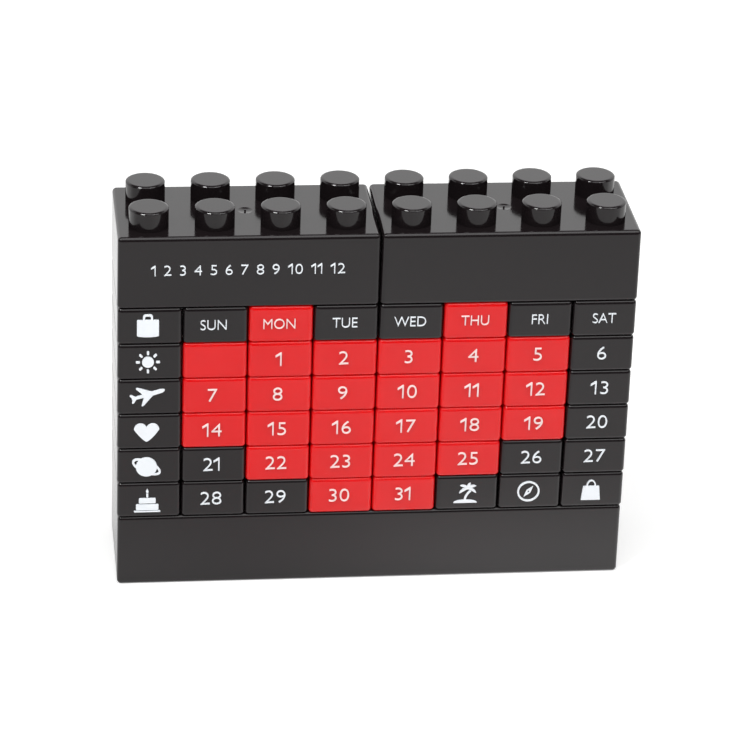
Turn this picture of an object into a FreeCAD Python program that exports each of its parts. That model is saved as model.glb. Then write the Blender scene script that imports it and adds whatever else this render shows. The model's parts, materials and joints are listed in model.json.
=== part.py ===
"""Perpetual desk calendar built from studded plastic bricks.

A long base brick carries eight columns of one-by-two tile bricks, six courses high, and two
four-by-two header bricks cap them. Every brick is an open-bottomed moulding: the studs of the
brick below are gripped inside it by ribs on the walls and by tubes under the roof.

Millimetres, +X to the viewer's right, +Y away from the viewer, +Z up.
The origin is the centre of the base's footprint, on the desk.
"""
import FreeCAD, Part
import math
import os

# ---- driving dimensions ---------------------------------------------------------------------

pitch = 16.0              # stud spacing, both ways
stud_rows = 2             # studs from front to back of every brick
header_columns = 4        # columns that one header brick spans

base_height = 19.2        # without studs
tile_height = 9.6
header_height = 18.7

side_gap = 0.2            # between neighbouring bricks, at the open rim, where they are widest
depth_gap = 0.25          # the same from front to back
draft_angle = 0.4         # mould draft of all side walls, in degrees

base_wall = 2.0
tile_wall = 2.2
header_wall = 1.8
roof = 1.6                # thickness of every brick's top

stud_radius = 4.85
stud_height = 5.0
stud_rim_width = 0.8      # the rounded rim of a stud's top, inwards
stud_rim_drop = 0.45      # and downwards
stud_rim_steps = 5        # facets across it
stud_wall = 1.6           # wall and top left around the core in a hollow stud
stud_cap = 3.2

clutch_clearance = 0.06   # between a stud and each rib or tube that grips it
clutch_recess = 0.3       # ribs and tubes stop this far above the rim
clutch_lead_in = 0.5      # chamfer that guides the studs in
rib_width = 1.2
tube_wall = 1.5           # tubes among four studs, in the two larger bricks
pin_wall = 1.2            # the hollow pin between a tile's two studs

edge_round = 1.0          # top edges
front_corner_round = 1.05 # upright corners
back_corner_round = 1.15
rim_round = 0.8           # bottom edges of the tiles and headers
foot_round = 1.0          # bottom edges of the base

gate_radius = 1.85        # shallow dish left by the mould's injection gate
gate_depth = 0.24
gate_nub_radius = 0.22
gate_nub_height = 0.45    # above the dish's floor

# ---- which tile stands where, front view, top course first ------------------------------------

tile_names = [
    ["marker_suitcase", "weekday_sunday", "weekday_monday", "weekday_tuesday",
     "weekday_wednesday", "weekday_thursday", "weekday_friday", "weekday_saturday"],
    ["marker_sun", "blank_tile", "date_01", "date_02", "date_03", "date_04", "date_05", "date_06"],
    ["marker_plane"] + [f"date_{day:02d}" for day in range(7, 14)],
    ["marker_heart"] + [f"date_{day:02d}" for day in range(14, 21)],
    ["marker_planet"] + [f"date_{day:02d}" for day in range(21, 28)],
    ["marker_cake", "date_28", "date_29", "date_30", "date_31",
     "marker_palm", "marker_compass", "marker_bag"],
]
header_names = ["header_left", "header_right"]

columns = len(tile_names[0])
courses = len(tile_names)
draft = math.tan(math.radians(draft_angle))
root = roof / 2           # how deep studs, ribs and tubes start inside the roof or wall they grow from
overrun = 1.0             # how far a cutting tool runs past the face it opens
up = FreeCAD.Vector(0, 0, 1)


def at(x, y, z=0.0):
    return FreeCAD.Vector(x, y, z)


# ---- elements of a brick ------------------------------------------------------------------------

def tapered_block(width, depth, bottom, top):
    """A block that is width by depth at z = 0 and narrows upwards by the mould draft."""
    sizes = [(width / 2 - z * draft, depth / 2 - z * draft) for z in (bottom, top)]
    (low_x, low_y), (high_x, high_y) = sizes
    block = Part.makeWedge(-low_x, bottom, -low_y, -high_y, -high_x, low_x, top, low_y, high_y, high_x)
    return block.rotated(at(0, 0), at(1, 0), 90)


def turned(profile):
    """A solid of revolution about Z, from (radius, z) points."""
    wire = Part.makePolygon([at(r, 0, z) for r, z in profile + profile[:1]])
    return Part.Face(wire).revolve(at(0, 0), up, 360)


def edges_at(shape, z):
    return [e for e in shape.Edges if all(abs(v.Z - z) < 1e-4 for v in e.Vertexes)]


def upright_edges(shape, height):
    return [e for e in shape.Edges if abs(e.BoundBox.ZLength - height) < 1e-4]


def rounded_outside(width, depth, height, bottom_round):
    """The brick's outside without studs: draft, rounded corners, top edges and bottom edges."""
    block = tapered_block(width, depth, 0, height)
    front = [e for e in upright_edges(block, height) if e.CenterOfMass.y < 0]
    block = block.makeFillet(front_corner_round, front)
    back = [e for e in upright_edges(block, height) if e.CenterOfMass.y > 0]
    block = block.makeFillet(back_corner_round, back)
    block = block.makeFillet(edge_round, edges_at(block, height))
    return block.makeFillet(bottom_round, edges_at(block, 0))


def stud(height):
    """A stud on the roof of a brick of this height, rooted in the roof, with a rounded rim."""
    top = height + stud_height
    flat = stud_radius - stud_rim_width
    turns = [math.pi / 2 * i / stud_rim_steps for i in range(stud_rim_steps + 1)]
    rim = [(flat + stud_rim_width * math.cos(t), top - stud_rim_drop * (1 - math.sin(t))) for t in turns]
    return turned([(0, height - root), (stud_radius, height - root)] + rim + [(0, top)])


def stud_core(height):
    """The hollow under a stud, reached from inside the brick."""
    mouth = height - roof - overrun
    ceiling = height + stud_height - stud_cap
    return Part.makeCylinder(stud_radius - stud_wall, ceiling - mouth, at(0, 0, mouth))


def clutch_tube(outer, wall, height):
    """A tube that hangs from the roof, with a chamfer at its lower lip."""
    inner = outer - wall
    top = height - root
    lip = clutch_recess + clutch_lead_in
    return turned([(inner, clutch_recess), (outer - clutch_lead_in, clutch_recess), (outer, lip),
                   (outer, top), (inner, top)])


def clutch_rib(reach, back, height):
    """An upright rib on a wall in +X. It reaches in to x = reach, and x = back is inside the wall."""
    top = height - root
    lip = clutch_recess + clutch_lead_in
    outline = [(back, clutch_recess), (reach + clutch_lead_in, clutch_recess), (reach, lip),
               (reach, top), (back, top)]
    wire = Part.makePolygon([at(x, -rib_width / 2, z) for x, z in outline + outline[:1]])
    return Part.Face(wire).extrude(at(0, rib_width))


def gate_mark(x, height):
    """The dish in the roof around the injection gate, and the nub that the gate leaves in it."""
    ball_radius = (gate_radius ** 2 + gate_depth ** 2) / (2 * gate_depth)
    floor = height - gate_depth
    ball = Part.makeSphere(ball_radius, at(x, 0, floor + ball_radius))
    dish = ball.common(Part.makeCylinder(ball_radius, 2 * gate_depth, at(x, 0, floor)))
    nub = Part.makeCylinder(gate_nub_radius, root + gate_nub_height, at(x, 0, floor - root))
    return dish, nub


# ---- a whole brick --------------------------------------------------------------------------------

def brick(across, height, wall, bottom_round, gate_x, hollow_studs):
    """An open-bottomed brick, this many studs across, standing at the origin."""
    width = across * pitch - side_gap
    depth = stud_rows * pitch - depth_gap
    xs = [(i - (across - 1) / 2) * pitch for i in range(across)]
    ys = [(j - (stud_rows - 1) / 2) * pitch for j in range(stud_rows)]

    outside = rounded_outside(width, depth, height, bottom_round)
    studs = [stud(height).translated(at(x, y)) for x in xs for y in ys]
    dish, nub = gate_mark(gate_x, height)
    body = outside.multiFuse(studs).cut(dish).fuse(nub)

    inside_width, inside_depth = width - 2 * wall, depth - 2 * wall
    body = body.cut(tapered_block(inside_width, inside_depth, -overrun, height - roof))

    body = body.multiFuse(grips(xs, ys, width, depth, wall, height))
    if hollow_studs:
        cores = [stud_core(height).translated(at(x, y)) for x in xs for y in ys]
        body = body.cut(Part.makeCompound(cores))
    return body.removeSplitter()


def grips(xs, ys, width, depth, wall, height):
    """Everything inside a brick that touches the studs below it."""
    near = stud_radius + clutch_clearance
    lean = height * draft
    across, along = width / 2 - lean - wall / 2, depth / 2 - lean - wall / 2

    side_rib = clutch_rib(xs[-1] + near, across, height)
    end_rib = clutch_rib(ys[-1] + near, along, height)
    ribs = []
    for y in ys:
        for turn in (0, 180):
            ribs.append(side_rib.rotated(at(0, 0), up, turn).translated(at(0, y)))
    for x in xs:
        for turn in (90, 270):
            ribs.append(end_rib.rotated(at(0, 0), up, turn).translated(at(x, 0)))

    if len(xs) > 1:
        tube = clutch_tube(pitch * math.sqrt(0.5) - near, tube_wall, height)
        middles = [((a + b) / 2, (c + d) / 2) for a, b in zip(xs, xs[1:]) for c, d in zip(ys, ys[1:])]
    else:
        tube = clutch_tube(pitch / 2 - near, pin_wall, height)
        middles = [(xs[0], (c + d) / 2) for c, d in zip(ys, ys[1:])]
    return ribs + [tube.translated(at(x, y)) for x, y in middles]


# ---- the calendar ---------------------------------------------------------------------------------

def save(shape, name):
    solids = shape.Solids
    if len(solids) != 1 or not solids[0].isValid():
        raise ValueError(f"{name}: {len(solids)} solids, valid {[s.isValid() for s in solids]}")
    solids[0].exportStep(f"parts/{name}.step")


def build():
    os.makedirs("parts", exist_ok=True)
    # the base's gate is half a pitch off the middle, so that a tile's hollow pin stands over its nub
    base = brick(columns, base_height, base_wall, foot_round, gate_x=pitch / 2, hollow_studs=True)
    save(base, "base_block")

    tile = brick(1, tile_height, tile_wall, rim_round, gate_x=0, hollow_studs=False)
    for course, names in enumerate(tile_names):
        z = base_height + (courses - 1 - course) * tile_height
        for column, name in enumerate(names):
            x = (column - (columns - 1) / 2) * pitch
            save(tile.translated(at(x, 0, z)), name)

    header = brick(header_columns, header_height, header_wall, rim_round, gate_x=0, hollow_studs=True)
    z = base_height + courses * tile_height
    for i, name in enumerate(header_names):
        x = (i - (len(header_names) - 1) / 2) * header_columns * pitch
        save(header.translated(at(x, 0, z)), name)


build()
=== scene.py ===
import bpy
import json
import math
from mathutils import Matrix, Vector


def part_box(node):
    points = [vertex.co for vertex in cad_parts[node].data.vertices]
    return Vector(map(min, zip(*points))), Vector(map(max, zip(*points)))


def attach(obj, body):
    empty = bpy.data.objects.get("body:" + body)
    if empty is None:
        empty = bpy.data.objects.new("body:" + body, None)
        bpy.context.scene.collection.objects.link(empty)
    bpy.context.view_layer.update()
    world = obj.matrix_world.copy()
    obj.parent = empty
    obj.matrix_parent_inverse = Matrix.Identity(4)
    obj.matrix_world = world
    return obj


# A perpetual desk calendar stacked from studded plastic bricks. The bricks come from the frame:
# here they get their plastic, the tiles their raised marks and the left header its row of months.
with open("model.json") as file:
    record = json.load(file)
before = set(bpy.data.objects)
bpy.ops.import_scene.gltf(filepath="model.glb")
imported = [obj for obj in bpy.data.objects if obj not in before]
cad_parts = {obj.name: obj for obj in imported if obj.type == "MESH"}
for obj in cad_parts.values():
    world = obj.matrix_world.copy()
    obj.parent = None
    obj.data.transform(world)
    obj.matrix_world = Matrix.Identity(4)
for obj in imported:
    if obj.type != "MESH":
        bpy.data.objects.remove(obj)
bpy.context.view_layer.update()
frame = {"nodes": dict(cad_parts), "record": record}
mm = 0.001
bpy.context.scene.view_settings.view_transform = "Standard"
bpy.ops.object.select_all(action="DESELECT")


# shader maths: a Value is a socket that can be added, multiplied and compared
class Value:
    def __init__(self, graph, socket):
        self.graph = graph
        self.socket = socket

    def maths(self, operation, first, second):
        return self.graph.node("ShaderNodeMath", {"operation": operation}, {0: first, 1: second})

    def __add__(self, other):
        return self.maths("ADD", self, other)

    def __sub__(self, other):
        return self.maths("SUBTRACT", self, other)

    def __rsub__(self, other):
        return self.maths("SUBTRACT", other, self)

    def __mul__(self, other):
        return self.maths("MULTIPLY", self, other)

    def __lt__(self, other):
        return self.maths("LESS_THAN", self, other)

    __radd__ = __add__
    __rmul__ = __mul__

    def step(self, low, high):
        # 0 below low, 1 above high, eased between
        eased = {"interpolation_type": "SMOOTHSTEP"}
        return self.graph.node("ShaderNodeMapRange", eased, {0: self, 1: low, 2: high})


speckCore = 0.6             # the share of a speck's radius that is at full strength


class Graph:
    def __init__(self, owner):
        owner.use_nodes = True
        self.tree = owner.node_tree
        self.tree.nodes.clear()

    def node(self, kind, settings=None, inputs=None, output=0):
        made = self.tree.nodes.new(kind)
        for name, setting in (settings or {}).items():
            setattr(made, name, setting)
        for place, given in (inputs or {}).items():
            if isinstance(given, Value):
                self.tree.links.new(given.socket, made.inputs[place])
            else:
                made.inputs[place].default_value = given
        return Value(self, made.outputs[output] if made.outputs else None)

    def place(self):
        return self.node("ShaderNodeTexCoord", output="Object")

    def ray(self, kind):
        return self.node("ShaderNodeLightPath", output=kind)

    def mirroredOnce(self):
        # the depth is a whole number, so this is 1 up to the first mirroring
        return self.ray("Glossy Depth") < 1.5

    def mixColour(self, factor, first, second):
        inputs = {0: factor, 6: first, 7: second}
        return self.node("ShaderNodeMix", {"data_type": "RGBA"}, inputs, output=2)

    def noise(self, place, patch, detail=2.0):
        # patch is how wide one patch of the noise is, in millimetres
        inputs = {"Vector": place, "Scale": 1 / (patch * mm), "Detail": detail}
        return self.node("ShaderNodeTexNoise", None, inputs)

    def specks(self, place, spacing, radius, share):
        # round specks, one in the middle of some of the cells
        cells = {"Vector": place, "Scale": 1 / (spacing * mm)}
        distance = self.node("ShaderNodeTexVoronoi", None, cells, output="Distance")
        lot = self.node("ShaderNodeTexVoronoi", None, cells, output="Color")
        lot = self.node("ShaderNodeSeparateColor", None, {0: lot})
        return (1 - distance.step(speckCore * radius / spacing, radius / spacing)) * (lot < share)


# glossy moulded plastic: broad waviness, a fine skin, hairline scratches and a little dust
blackPlasticLook = {
    "deep": (0.0085, 0.0064, 0.0070, 1),
    "pale": (0.0120, 0.0092, 0.0100, 1),
    "cloudPatch": 14.0,
    "roughness": 0.125,
    "roughnessRange": 0.05,
    "wavePatch": 9.0,
    "waveHeight": 0.010,
    "skinPatch": 0.7,
    "skinHeight": 0.0005,
    "scratchPatch": 0.30,
    "scratchStretch": 0.04,
    "scratchTurns": (0.5, 2.2),
    "scratchLevel": (0.72, 0.77),
    "scratchRoughness": 0.04,
    "dustSpacing": 3.0,
    "dustRadius": 0.10,
    "dustShare": 0.12,
    "dustStrength": 0.35,
    "dustRoughness": 0.3,
    "dust": (0.25, 0.24, 0.23, 1),
    "index": 1.5,
    "depth": 0,                         # how deep light sinks into the plastic, in millimetres
}
redPlasticLook = {
    **blackPlasticLook,
    "deep": (0.69, 0.004, 0.006, 1),
    "pale": (0.75, 0.008, 0.010, 1),
    "roughness": 0.13,
    "dustStrength": 0.12,
    "dust": (0.80, 0.30, 0.28, 1),
    "depth": 2.2,
    "depthShare": 0.8,
    "depthColour": (1.0, 0.10, 0.08),
}
whiteMarkLook = {
    **blackPlasticLook,
    "deep": (0.81, 0.85, 0.89, 1),
    "pale": (0.86, 0.90, 0.94, 1),
    "cloudPatch": 3.0,
    "roughness": 0.30,
    "wavePatch": 2.0,
    "waveHeight": 0.003,
    "dustStrength": 0.15,
    "dust": (0.50, 0.50, 0.50, 1),
}

# on red bricks the red glows through the white a little
pinkMarkLook = {**whiteMarkLook, "deep": (0.92, 0.72, 0.71, 1), "pale": (0.96, 0.77, 0.76, 1)}


def mouldedPlastic(name, look):
    material = bpy.data.materials.new(name)
    graph = Graph(material)
    place = graph.place()
    cloud = graph.noise(place, look["cloudPatch"])
    wave = graph.noise(place, look["wavePatch"], detail=0)
    skin = graph.noise(place, look["skinPatch"], detail=3)
    scratches = 0
    for turn in look["scratchTurns"]:
        stretch = (look["scratchStretch"], 1, 1)
        along = {"Vector": place, "Rotation": (turn, turn, turn), "Scale": stretch}
        line = graph.noise(graph.node("ShaderNodeMapping", None, along), look["scratchPatch"], detail=0)
        scratches = line.step(*look["scratchLevel"]) + scratches
    dust = graph.specks(place, look["dustSpacing"], look["dustRadius"], look["dustShare"])
    colour = graph.mixColour(cloud, look["deep"], look["pale"])
    colour = graph.mixColour(dust * look["dustStrength"], colour, look["dust"])
    roughness = look["roughness"] + look["roughnessRange"] * (cloud - 0.5)
    roughness = roughness + look["scratchRoughness"] * scratches + look["dustRoughness"] * dust
    height = wave * look["waveHeight"] + skin * look["skinHeight"]
    bump = graph.node("ShaderNodeBump", None, {"Distance": mm, "Height": height})
    plastic = {"Base Color": colour, "Roughness": roughness, "Normal": bump, "IOR": look["index"]}
    if look["depth"]:
        plastic["Subsurface Weight"] = look["depthShare"]
        plastic["Subsurface Radius"] = look["depthColour"]
        plastic["Subsurface Scale"] = look["depth"] * mm
    shader = graph.node("ShaderNodeBsdfPrincipled", None, plastic)
    graph.node("ShaderNodeOutputMaterial", None, {"Surface": shader})
    return material


blackPlastic = mouldedPlastic("blackPlastic", blackPlasticLook)
redPlastic = mouldedPlastic("redPlastic", redPlasticLook)
whiteMark = mouldedPlastic("whiteMark", whiteMarkLook)
pinkMark = mouldedPlastic("pinkMark", pinkMarkLook)
print("plastics mixed")

plasticOf = {"black_plastic": blackPlastic, "red_plastic": redPlastic}
brickOf = {name: brick.material_slots[0] for name, brick in frame["nodes"].items()}
for part in frame["record"]["subparts"]:
    brickOf[part["node"]].material = plasticOf[part["material_slot"]]
print("bricks coloured:", len(frame["nodes"]))


# how the raised marks stand on the bricks, in millimetres
relief = {
    "stand": 0.45,          # out of the brick's face
    "sink": 0.10,           # back into it
    "edgeRound": 0.06,
    "roundSteps": 2,
    "wallLean": 0.4,        # the bricks' walls lean in by this many degrees
    "across": -0.35,        # from the middle of the face
    "spread": 0.0045,       # and a little more outwards with each tile, a share of its place
    "lift": 0.25,
    "smoothAngle": 50,
}


def selectOnly(piece):
    bpy.ops.object.select_all(action="DESELECT")
    piece.select_set(True)
    bpy.context.view_layer.objects.active = piece


def raised(flat, extra=0.0):
    # gives a flat curve or text its thickness and rounded edges, and makes it a mesh
    thick = relief["stand"] + relief["sink"] + extra
    flat.data.extrude = (thick / 2 - relief["edgeRound"]) * mm
    flat.data.bevel_depth = relief["edgeRound"] * mm
    flat.data.bevel_resolution = relief["roundSteps"]
    flat.data.offset -= relief["edgeRound"] * mm
    selectOnly(flat)
    bpy.ops.object.convert(target="MESH")
    return bpy.context.object


def joined(pieces):
    selectOnly(pieces[0])
    for piece in pieces:
        piece.select_set(True)
    bpy.ops.object.transform_apply()
    if len(pieces) > 1:
        bpy.ops.object.join()
    return bpy.context.object


def mount(mark, name, brick, across=None, lift=relief["lift"]):
    # sets a mark that lies flat at the origin on a brick's front, centred, and leaning as the wall does
    low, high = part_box(brick)
    lean = math.radians(relief["wallLean"])
    x = (low.x + high.x) / 2
    x += relief["across"] * mm + relief["spread"] * x if across is None else across * mm
    bodyTop = low.z + bodyHeight[brick] * mm
    z = (low.z + bodyTop) / 2 + lift * mm
    face = Vector((x, low.y + (z - low.z) * math.tan(lean), z))
    outward = Vector((0, -math.cos(lean), math.sin(lean)))
    selectOnly(mark)
    bpy.ops.object.origin_set(type="ORIGIN_GEOMETRY", center="BOUNDS")
    mark.location = face + outward * (relief["stand"] - relief["sink"]) / 2 * mm
    mark.rotation_euler = (math.pi / 2 - lean, 0, 0)
    bpy.ops.object.transform_apply()
    bpy.ops.object.shade_smooth_by_angle(angle=math.radians(relief["smoothAngle"]))
    mark.name = mark.data.name = name
    mark.data.materials.clear()
    mark.data.materials.append(pinkMark if brickOf[brick].material == redPlastic else whiteMark)
    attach(mark, brick)


# heights without studs, in millimetres
tileHeight, headerHeight = 9.6, 18.7
bodyHeight = {name: tileHeight for name in frame["nodes"]}
bodyHeight.update(header_left=headerHeight, header_right=headerHeight)

# digits and letters; heights and weights in millimetres
lettering = {
    "capShare": 0.70,       # a capital's height, a share of the type size
    "digitStep": 0.80,      # to the next digit, a share of the digit's height
    "oneStep": 0.571,       # after a one, which is narrower
    "digitWidth": 1.12,
    "curveSteps": 6,
    "date": {"height": 3.6, "weight": -0.075},
    "weekday": {"height": 2.70, "weight": -0.055, "spacing": 0.97, "narrow": 0.93},
    "month": {"height": 2.7, "weight": -0.06},
}


def typed(words, height, weight, spacing=1.0, narrow=1.0):
    bpy.ops.object.select_all(action="DESELECT")
    bpy.ops.object.text_add()
    text = bpy.context.object
    text.data.body = words
    text.data.size = height / lettering["capShare"] * mm
    text.data.space_character = spacing
    text.scale.x = narrow
    text.data.resolution_u = lettering["curveSteps"]
    text.data.offset = weight * mm
    return raised(text)


def drawn(rings, extra=0.0):
    # rings of points in millimetres; a ring inside another one is a hole
    outline = bpy.data.curves.new("outline", "CURVE")
    outline.dimensions = "2D"
    outline.fill_mode = "BOTH"
    for ring in rings:
        spline = outline.splines.new("POLY")
        spline.points.add(len(ring) - 1)
        for point, (x, y) in zip(spline.points, ring):
            point.co = (x * mm, y * mm, 0, 1)
        spline.use_cyclic_u = True
    flat = bpy.data.objects.new("outline", outline)
    bpy.context.scene.collection.objects.link(flat)
    return raised(flat, extra)


# the digit one is an upright bar with a short flag; shares of its height
one = {
    "bar": 0.135, "left": 0.30, "shoulder": 0.03,
    "flag": -0.02, "flagTop": 0.76, "flagFoot": 0.64, "root": 0.83,
}


def figureOne(height, weight):
    left, flag = one["left"] * height, one["flag"] * height
    right = left + one["bar"] * height + 2 * weight
    return drawn([[
        (left, 0), (right, 0), (right, height), (left + one["shoulder"] * height, height),
        (flag, one["flagTop"] * height), (flag, one["flagFoot"] * height), (left, one["root"] * height),
    ]])


def number(value, height, weight):
    digits, left = [], 0
    for digit in str(value):
        if digit == "1":
            glyph, step = figureOne(height, weight), lettering["oneStep"]
        else:
            glyph = typed(digit, height, weight, narrow=lettering["digitWidth"])
            step = lettering["digitStep"]
        glyph.location.x = left * mm
        left += step * height
        digits.append(glyph)
    return joined(digits)


# outlines for the marker tiles
def arc(x, y, radiusX, radiusY, start, end, steps=8):
    turns = [math.radians(start + (end - start) * i / steps) for i in range(steps + 1)]
    return [(x + radiusX * math.cos(t), y + radiusY * math.sin(t)) for t in turns]


def circle(x, y, radius, steps=40):
    return arc(x, y, radius, radius, 0, 360, steps)[:-1]


def roundedBox(x, y, width, height, corner):
    across, up = width / 2 - corner, height / 2 - corner
    ring = []
    for quarter, (sideX, sideY) in enumerate(((1, 1), (-1, 1), (-1, -1), (1, -1))):
        start = 90 * quarter
        ring += arc(x + sideX * across, y + sideY * up, corner, corner, start, start + 90, 4)
    return ring


def turned(ring, degrees):
    c, s = math.cos(math.radians(degrees)), math.sin(math.radians(degrees))
    return [(x * c - y * s, x * s + y * c) for x, y in ring]


def bothSides(half):
    # completes an outline drawn on one side of its long axis; points on the axis stay single
    return half + [(x, -y) for x, y in reversed(half) if y != 0]


suitcaseLook = {
    "width": 5.35, "height": 4.15, "corner": 0.2, "bulge": 0.4,
    "handle": 1.22, "handleRise": 1.5, "handleCorner": 0.65, "handleFoot": 0.08, "strap": 0.5,
}


def suitcase(look):
    side, top, corner = look["width"] / 2, look["height"] / 2, look["corner"]
    grip, rise, bend, strap = look["handle"], look["handleRise"], look["handleCorner"], look["strap"]
    flat = side - corner
    shell = arc(0, -top, side, look["bulge"], 180, 360, 16)
    shell += arc(flat, top - corner, corner, corner, 0, 90, 4) + [(grip, top)]
    shell += arc(grip - bend, top + rise - bend, bend, bend, 0, 90, 6)
    shell += arc(bend - grip, top + rise - bend, bend, bend, 90, 180, 6)
    shell += [(-grip, top)] + arc(-flat, top - corner, corner, corner, 90, 180, 4)
    inside, curl = grip - strap, bend - strap / 2
    hand = [(-inside, top + look["handleFoot"]), (inside, top + look["handleFoot"])]
    hand += arc(inside - curl, top + rise - strap - curl, curl, curl, 0, 90, 5)
    hand += arc(curl - inside, top + rise - strap - curl, curl, curl, 90, 180, 5)
    return [drawn([shell, hand])]


sunLook = {"disc": 1.45, "rays": 8, "rayFrom": 1.95, "rayTo": 2.95, "rayWidth": 0.55, "rayCorner": 0.2}


def sun(look):
    rings = [circle(0, 0, look["disc"])]
    middle, length = (look["rayFrom"] + look["rayTo"]) / 2, look["rayTo"] - look["rayFrom"]
    for i in range(look["rays"]):
        ray = roundedBox(middle, 0, length, look["rayWidth"], look["rayCorner"])
        rings.append(turned(ray, 360 * i / look["rays"]))
    return [drawn(rings)]


planeLook = {
    "heading": 17,
    "half": [
        (4.35, 0), (4.22, 0.24), (3.60, 0.48), (1.15, 0.52),
        (-1.75, 2.50), (-2.10, 2.58), (-2.32, 2.42), (-1.15, 0.45), (-3.00, 0.34),
        (-3.85, 1.12), (-4.20, 1.16), (-4.32, 1.00), (-3.95, 0.20), (-4.10, 0),
    ],
}


def plane(look):
    return [drawn([turned(bothSides(look["half"]), look["heading"])])]


heartLook = {"lobe": 1.61, "apart": 1.51, "drop": 3.35, "fullness": 1.4, "steps": 28}


def heart(look):
    # two round lobes over a full, pointed bowl
    lobe, apart = look["lobe"], look["apart"]
    notch = math.degrees(math.acos(apart / lobe))
    ring = arc(apart, 0, lobe, lobe, 0, 180 - notch, 14)
    ring += arc(-apart, 0, lobe, lobe, notch, 180, 14)[1:]
    for i in range(1, look["steps"]):
        share = 2 * i / look["steps"] - 1
        ring.append((share * (lobe + apart), look["drop"] * (abs(share) ** look["fullness"] - 1)))
    return [drawn([ring])]


planetLook = {"globe": 2.62, "rings": [(3.90, 1.75), (3.32, 1.18)], "tilt": -27, "globeStand": 0.05}


def planet(look):
    band = [turned(arc(0, 0, x, y, 0, 360, 48)[:-1], look["tilt"]) for x, y in look["rings"]]
    return [drawn(band), drawn([circle(0, 0, look["globe"])], look["globeStand"])]


# height of the middle, width, height and corner of each tier, plate and candle
cakeLook = {
    "boxes": [
        (-1.65, 5.6, 1.6, 0.25), (0.15, 4.2, 1.4, 0.25),
        (-2.85, 6.6, 0.35, 0.15), (1.65, 0.5, 1.1, 0.15),
    ],
    "flame": 2.75, "flameRadius": 0.34, "flameTip": 3.55,
}


def cake(look):
    rings = [roundedBox(0, y, width, height, corner) for y, width, height, corner in look["boxes"]]
    flame = arc(0, look["flame"], look["flameRadius"], look["flameRadius"], 160, 380, 10)
    return [drawn(rings + [flame + [(0, look["flameTip"])]])]


palmLook = {
    "crown": (0.55, 1.15),
    "fronds": [(-12, 2.5), (38, 2.2), (88, 1.7), (138, 2.2), (192, 2.6)],
    "frond": [(0.10, -0.6), (0.45, -1), (0.80, -0.7), (1.0, 0), (0.80, 0.7), (0.45, 1), (0.10, 0.6)],
    "frondWidth": 0.36,
    "droop": 28, "droopFrom": 0.3,
    "trunkBend": (3.9, -2.6, 4.1),      # centre and radius of the trunk's curve
    "trunkWidth": 0.5, "trunkStand": 0.04,
    "island": (-2.9, 3.0, 0.85), "islandStand": 0.02,
}


def palm(look):
    crownX, crownY = look["crown"]
    ring = []
    for heading, length in look["fronds"]:
        sag = -look["droop"] if heading < 90 else look["droop"]
        for share, aside in look["frond"]:
            turn = math.radians(heading + sag * (share - look["droopFrom"]))
            along, aside = share * length, aside * look["frondWidth"]
            x = crownX + along * math.cos(turn) - aside * math.sin(turn)
            ring.append((x, crownY + along * math.sin(turn) + aside * math.cos(turn)))
    bendX, bendY, bend = look["trunkBend"]
    outer, inner = bend + look["trunkWidth"] / 2, bend - look["trunkWidth"] / 2
    trunk = arc(bendX, bendY, outer, outer, 180, 132) + arc(bendX, bendY, inner, inner, 130, 180)
    shore, islandWidth, islandHeight = look["island"]
    island = arc(0, shore, islandWidth, islandHeight, 0, 180, 16)
    return [drawn([ring]), drawn([trunk], look["trunkStand"]), drawn([island], look["islandStand"])]


compassLook = {
    "ring": 2.85, "ringInside": 2.40,
    "needle": 1.85, "needleWidth": 1.15, "hole": 0.24, "heading": -38,
}


def compass(look):
    half = look["needleWidth"] / 2
    needle = [(0, look["needle"]), (half, 0), (0, -look["needle"]), (-half, 0)]
    rings = [circle(0, 0, look["ring"], 48), circle(0, 0, look["ringInside"], 48)]
    return [drawn(rings + [turned(needle, look["heading"]), circle(0, 0, look["hole"], 16)])]


bagLook = {
    "top": 4.1, "bottom": 4.9, "height": 3.9, "lift": -0.9,
    "handle": 1.25, "handleRise": 1.75, "handleFoot": 0.06, "strap": 0.38,
}


def bag(look):
    top = look["lift"] + look["height"] / 2
    bottom = top - look["height"]
    grip, inside = look["handle"], look["handle"] - look["strap"]
    shell = [(-look["bottom"] / 2, bottom), (look["bottom"] / 2, bottom), (look["top"] / 2, top)]
    shell += arc(0, top, grip, look["handleRise"], 0, 180, 16) + [(-look["top"] / 2, top)]
    hand = arc(0, top + look["handleFoot"], inside, look["handleRise"] - look["strap"], 0, 180, 16)
    return [drawn([shell, hand])]


# each marker's outline, and where it stands: millimetres across and up from the middle of the face
markers = {
    "marker_suitcase": (suitcase, suitcaseLook, -0.45, 0.36),
    "marker_sun": (sun, sunLook, -0.40, 0.10),
    "marker_plane": (plane, planeLook, -0.55, 0.18),
    "marker_heart": (heart, heartLook, -0.65, -0.05),
    "marker_planet": (planet, planetLook, -0.65, -0.05),
    "marker_cake": (cake, cakeLook, -0.40, 0.10),
    "marker_palm": (palm, palmLook, -0.35, 0.10),
    "marker_compass": (compass, compassLook, -0.35, 0.10),
    "marker_bag": (bag, bagLook, -0.35, 0.10),
}
for brick, (draw, look, across, lift) in markers.items():
    mount(joined(draw(look)), "raised_" + brick, brick, across, lift)
print("markers raised:", len(markers))

for brick in frame["nodes"]:
    kind, _, rest = brick.partition("_")
    if kind == "date":
        mount(number(int(rest), **lettering["date"]), "raised_" + brick, brick)
    if kind == "weekday":
        mount(typed(rest[:3].upper(), **lettering["weekday"]), "raised_" + brick, brick)
print("dates and weekdays raised")

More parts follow.
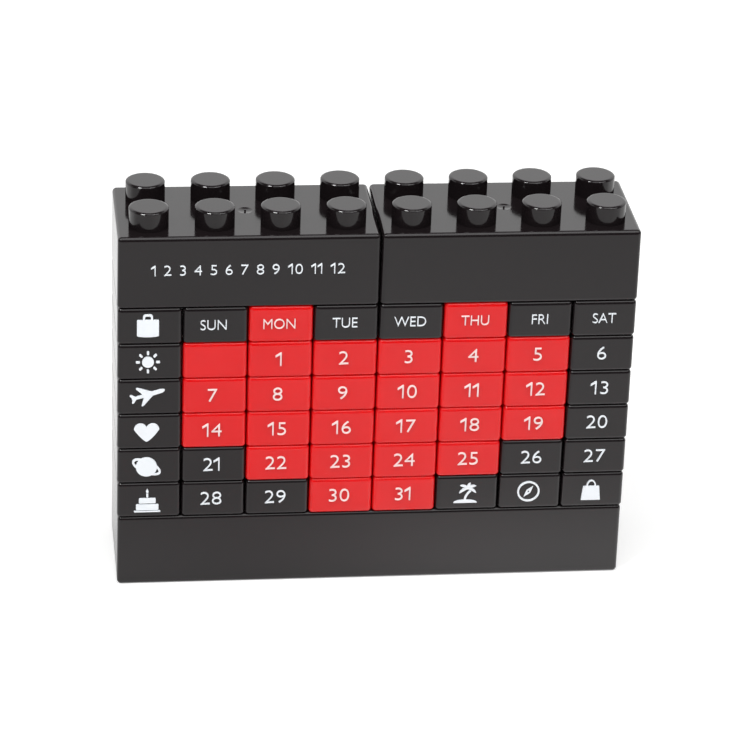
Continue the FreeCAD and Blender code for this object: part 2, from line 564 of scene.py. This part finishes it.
# twelve month numbers in a row on the left header, with the same gap between all of them
monthRow = {"left": -23.8, "right": 23.2, "lift": 0.8}
months = [number(month, **lettering["month"]) for month in range(1, 13)]
widths = [mark.dimensions.x / mm for mark in months]
gap = (monthRow["right"] - monthRow["left"] - sum(widths)) / (len(months) - 1)
left = monthRow["left"]
for i, (mark, width) in enumerate(zip(months, widths)):
    mount(mark, f"raised_month_{i + 1:02d}", "header_left", left + width / 2, monthRow["lift"])
    left += width + gap
print("months raised")


# the stage: a pale table, a soft light overhead and two smaller ones in front
camera = {
    "location": (-0.09718, -0.75068, 0.42903),
    "turn": (63.370, -2.014, -6.488),
    "lens": 161.47, "sensor": 36, "near": 0.05,
}
lamps = {
    "overhead": {"place": (0.08, -0.41, 0.90), "turn": (0, 0, 0), "size": (0.55, 1.0), "power": 3.7},
    "frontLeft": {
        "place": (-0.50, -0.42, 0.95), "turn": (36, 0, -50), "size": (0.26, 0.26), "power": 5.2,
    },
    "frontRight": {
        "place": (0.60, -0.45, 0.95), "turn": (40, 0, 53), "size": (0.5, 0.5), "power": 2.5,
    },
}
table = {
    "front": -1.2, "back": 1.6, "side": 1.6,
    "pale": (0.90, 0.90, 0.895, 1),
    "dim": (0.02, 0.02, 0.02, 1),
    "glow": 0.38,                       # for the camera alone
    "farGlow": 0.30,                    # more of it far from the bricks
    "far": (0.45, 1.5),
    "mirroredGlow": 0.25,               # for gloss, behind the bricks
    "fade": (-0.42, -0.24),             # in gloss it fades to dim towards the front
    "turnover": (-0.02, 0.04),          # from the share ahead of the bricks to all of it behind them
    "ahead": 0.72,
    "corner": 0.28,                     # and more of it ahead on the right
    "cornerRight": (-0.035, 0.04),
    "cornerNear": (-0.30, -0.04),
    "close": (-0.075, -0.022),          # in gloss it glows just before the base, more so on the right
    "closeGlow": 0.20,
    "cornerGlow": 0.30,
}
room = {
    "white": (1, 1, 1, 1),
    "fill": 0.28,                       # plain light from all round
    "frontFill": 0.28,                  # and more of it from the front
    "fillTurnover": (0.2, -0.7),
    "behind": 1.22,                     # in gloss: a pale backdrop behind
    "behindTop": (0.62, 0.72),          # up to this height
    "turnover": 0.25,
    "front": 0.016,                     # and dark elsewhere
}


def radians(degrees):
    return [math.radians(turn) for turn in degrees]


bpy.ops.object.camera_add(location=camera["location"], rotation=radians(camera["turn"]))
eye = bpy.context.object
eye.name = "camera"
eye.data.sensor_width = camera["sensor"]
eye.data.lens = camera["lens"]
eye.data.clip_start = camera["near"]
bpy.context.scene.camera = eye

for name, lamp in lamps.items():
    bpy.ops.object.light_add(type="AREA", location=lamp["place"], rotation=radians(lamp["turn"]))
    light = bpy.context.object
    light.name = light.data.name = name
    light.data.shape = "RECTANGLE"
    light.data.size, light.data.size_y = lamp["size"]
    light.data.energy = lamp["power"]


def paleTable():
    # matt, whiter to the camera alone, fading to the front in gloss, and dim to light that has been
    # mirrored twice, as between two bricks
    material = bpy.data.materials.new("paleTable")
    graph = Graph(material)
    forward = graph.node("ShaderNodeSeparateXYZ", None, {0: graph.place()}, output="Y")
    sideways = graph.node("ShaderNodeSeparateXYZ", None, {0: graph.place()}, output="X")
    beyond = forward.step(*table["turnover"])
    corner = sideways.step(*table["cornerRight"]) * forward.step(*table["cornerNear"])
    ahead = table["ahead"] + table["corner"] * corner
    near = forward.step(*table["fade"]) * (ahead + (1 - ahead) * beyond)
    mirrored, once = graph.ray("Is Glossy Ray"), graph.mirroredOnce()
    shown = (1 - mirrored) + mirrored * near * once
    colour = graph.mixColour(shown, table["dim"], table["pale"])
    matt = graph.node("ShaderNodeBsdfDiffuse", None, {"Color": colour})
    length = {"operation": "LENGTH"}
    away = graph.node("ShaderNodeVectorMath", length, {0: graph.place()}, output="Value")
    glow = graph.ray("Is Camera Ray") * (table["glow"] + table["farGlow"] * away.step(*table["far"]))
    closeGlow = table["closeGlow"] + table["cornerGlow"] * corner
    closeGlow = forward.step(*table["close"]) * (1 - beyond) * closeGlow
    glow = glow + mirrored * (beyond * table["mirroredGlow"] + closeGlow)
    glow = graph.node("ShaderNodeEmission", None, {"Strength": glow})
    both = graph.node("ShaderNodeAddShader", None, {0: matt, 1: glow})
    graph.node("ShaderNodeOutputMaterial", None, {"Surface": both})
    return material


bpy.ops.mesh.primitive_plane_add(size=1, location=(0, (table["front"] + table["back"]) / 2, 0))
floor = bpy.context.object
floor.name = "table"
floor.scale = (2 * table["side"], table["back"] - table["front"], 1)
bpy.ops.object.transform_apply()
floor.data.materials.append(paleTable())


def studioWorld():
    # white to the camera, a plain fill for light, and in gloss pale behind and dark elsewhere
    world = bpy.data.worlds.new("studio")
    bpy.context.scene.world = world
    graph = Graph(world)
    way = graph.node("ShaderNodeTexCoord", output="Generated")
    depth = graph.node("ShaderNodeSeparateXYZ", None, {0: way}, output="Y")
    height = graph.node("ShaderNodeSeparateXYZ", None, {0: way}, output="Z")
    backdrop = depth.step(-room["turnover"], room["turnover"]) * (1 - height.step(*room["behindTop"]))
    once = graph.mirroredOnce()
    mirrored = room["front"] + (room["behind"] - room["front"]) * backdrop * once
    fill = room["fill"] + room["frontFill"] * depth.step(*room["fillTurnover"])
    seen, glossy = graph.ray("Is Camera Ray"), graph.ray("Is Glossy Ray")
    strength = seen + (1 - seen) * (glossy * mirrored + (1 - glossy) * fill)
    light = graph.node("ShaderNodeBackground", None, {"Color": room["white"], "Strength": strength})
    graph.node("ShaderNodeOutputWorld", None, {"Surface": light})


studioWorld()
print("stage set")
